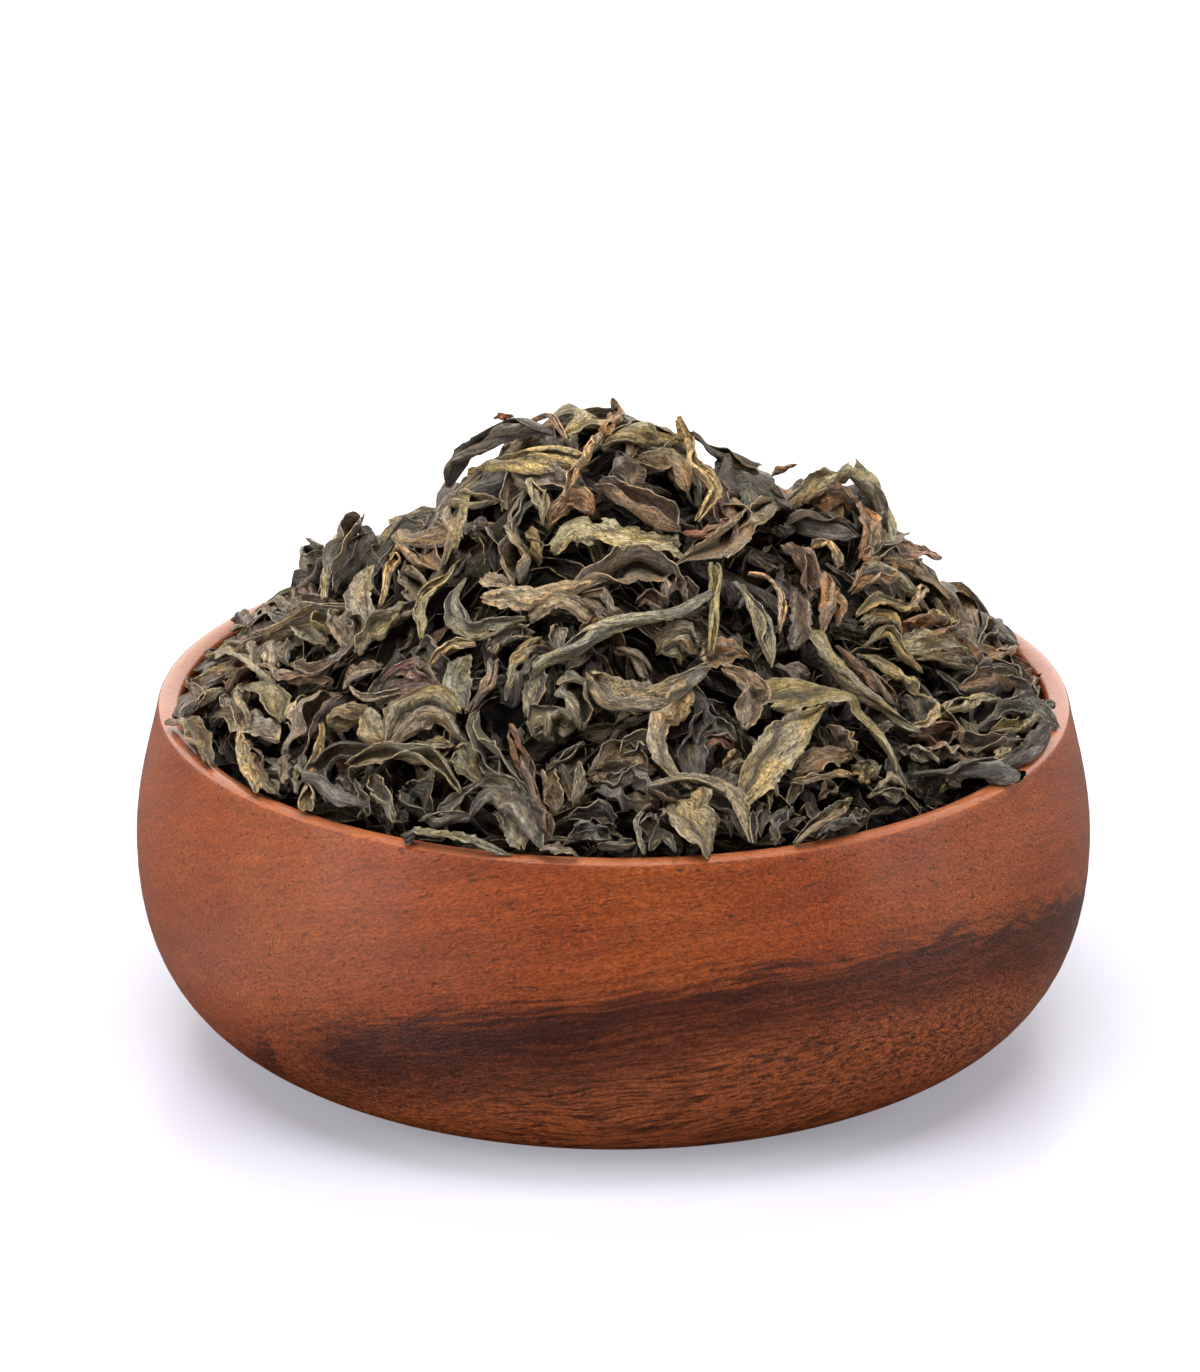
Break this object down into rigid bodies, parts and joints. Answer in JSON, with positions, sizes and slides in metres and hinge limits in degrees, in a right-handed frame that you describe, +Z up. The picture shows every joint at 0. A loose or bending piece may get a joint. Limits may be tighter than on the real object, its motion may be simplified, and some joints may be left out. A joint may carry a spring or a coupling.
{
  "type": "bowl of loose green tea",
  "caption": "Round wooden bowl heaped with loose, twisted and curled dried green tea leaves that rise well above its rim.",
  "frame": {"origin": "middle of the flat foot that the bowl stands on", "axes": "+Z up through the bowl's axis; -Y towards the side shown in the picture, +X to its right"},
  "size_m": [0.12, 0.12, 0.082],
  "materials": {
    "wood": "satin lacquered reddish hardwood with a dark streak",
    "tea": "matt dried leaf, grey-olive to mauve-brown"
  },
  "bodies": {
    "root": {"bowl": "wood", "tea_heap": "tea"}
  },
  "joints": []
}
